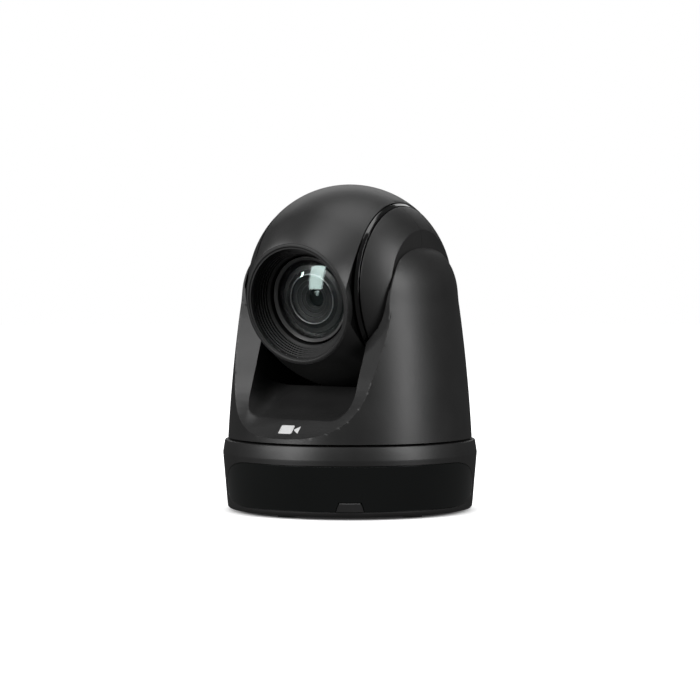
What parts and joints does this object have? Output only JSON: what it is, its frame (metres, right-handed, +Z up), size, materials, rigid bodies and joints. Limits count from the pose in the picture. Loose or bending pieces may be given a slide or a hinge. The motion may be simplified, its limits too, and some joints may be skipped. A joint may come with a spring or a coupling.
{
  "type": "ptz camera",
  "caption": "Pan-tilt-zoom video camera: round black base with a smoked front window, turning two-armed yoke and a ball-shaped tilting head with a motorised zoom lens.",
  "frame": {"origin": "centre of the footprint, on the surface the rubber feet stand on", "axes": "+Z up along the pan axis, -Y towards the front of the base (the smoked window), +X to the right of someone facing that window"},
  "size_m": [0.146, 0.146, 0.1866],
  "materials": {
    "black_moulding": "fine-textured satin black moulded plastic",
    "dark_moulding": "plain matt black moulded plastic",
    "smoked_window": "polished smoked acrylic",
    "grey_lens": "dark grey clear plastic",
    "gloss_black": "piano-black gloss",
    "zinc_steel": "zinc-plated sheet steel",
    "brass": "turned brass",
    "rubber": "matt black rubber",
    "circuit_board": "green solder mask",
    "chip_black": "moulded epoxy",
    "aluminium": "machined aluminium",
    "dark_panel": "powder-coated steel",
    "socket_shell": "nickel-plated shell",
    "jack_green": "green moulded plastic",
    "acetal": "natural acetal",
    "bronze": "oil-filled sintered bronze",
    "motor_can": "pressed steel can",
    "polished_steel": "ground steel",
    "white_print": "white print",
    "lens_glass": "coated optical glass",
    "sensor_glass": "covered sensor die"
  },
  "bodies": {
    "base": {"base_housing": "black_moulding", "base_plate": "zinc_steel", "ir_window": "smoked_window", "receiver_lens": "grey_lens", "tripod_bush": "brass", "bracket_inserts": "zinc_steel", "rubber_feet": "rubber", "base_screws": "zinc_steel", "main_board": "circuit_board", "board_standoffs": "brass", "board_chips": "chip_black", "heat_spreader": "aluminium", "io_panel": "dark_panel", "dc_jack": "dark_moulding", "lan_socket": "socket_shell", "hdmi_socket": "socket_shell", "usb_socket": "socket_shell", "sdi_socket": "socket_shell", "audio_jack": "jack_green", "serial_socket": "dark_moulding", "front_board": "circuit_board", "pan_post": "aluminium", "thrust_washer": "acetal", "pan_gear": "acetal", "pan_gear_nut": "zinc_steel", "cable_loom": "rubber"},
    "yoke": {"yoke_shell": "black_moulding", "yoke_cradle": "dark_moulding", "yoke_frame": "zinc_steel", "arm_plates": "zinc_steel", "pan_bush": "bronze", "pan_motor": "motor_can", "motor_bridge": "zinc_steel", "tilt_motor": "motor_can", "tilt_bushes": "bronze", "tilt_belt": "rubber", "front_mark": "white_print"},
    "head": {"head_dome": "black_moulding", "head_back": "black_moulding", "cheeks_front": "black_moulding", "cheeks_rear": "black_moulding", "accent_rings": "gloss_black", "lens_hood": "dark_moulding", "front_glass": "lens_glass", "lens_barrel": "dark_moulding", "lens_chassis": "aluminium", "guide_rods": "polished_steel", "lens_motors": "motor_can", "iris_unit": "dark_moulding", "rear_lens": "lens_glass", "image_sensor": "sensor_glass", "sensor_board": "circuit_board", "head_screws": "zinc_steel", "tilt_shafts": "polished_steel", "tilt_pulley": "acetal"},
    "pinion": {"pan_pinion": "brass"},
    "pulley": {"motor_pulley": "acetal"},
    "zoom": {"zoom_group": "dark_moulding"},
    "focus": {"focus_group": "dark_moulding"},
    "button": {"reset_button": "acetal"}
  },
  "joints": [
    {"name": "pan", "type": "hinge", "parent": "base", "child": "yoke", "pos_m": [0, 0, 0.045], "axis": [0, 0, 1], "range_deg": [-137, 203]},
    {"name": "tilt", "type": "hinge", "parent": "yoke", "child": "head", "pos_m": [0, 0, 0.128], "axis": [-0.8387, 0.5446, 0], "range_deg": [-21, 99]},
    {"name": "pan_pinion_spin", "type": "hinge", "parent": "yoke", "child": "pinion", "pos_m": [0.01961, 0.03019, 0.051], "axis": [0, 0, 1], "range_deg": [-685, 1015]},
    {"name": "tilt_pulley_spin", "type": "hinge", "parent": "yoke", "child": "pulley", "pos_m": [0.04529, -0.02941, 0.066], "axis": [-0.8387, 0.5446, 0], "range_deg": [-42, 198]},
    {"name": "zoom_slide", "type": "slide", "parent": "head", "child": "zoom", "axis": [-0.5379, -0.8283, -0.1564], "range_m": [-0.004, 0.014]},
    {"name": "focus_slide", "type": "slide", "parent": "head", "child": "focus", "axis": [-0.5379, -0.8283, -0.1564], "range_m": [-0.004, 0.008]},
    {"name": "reset_press", "type": "slide", "parent": "base", "child": "button", "axis": [0, -1, 0], "range_m": [0, 0.0008], "stiffness_N_per_m": 400, "springref_m": -0.0005}
  ],
  "couplings": [
    {"joint": "pan_pinion_spin", "follows": "pan", "ratio": 5},
    {"joint": "tilt_pulley_spin", "follows": "tilt", "ratio": 2}
  ]
}
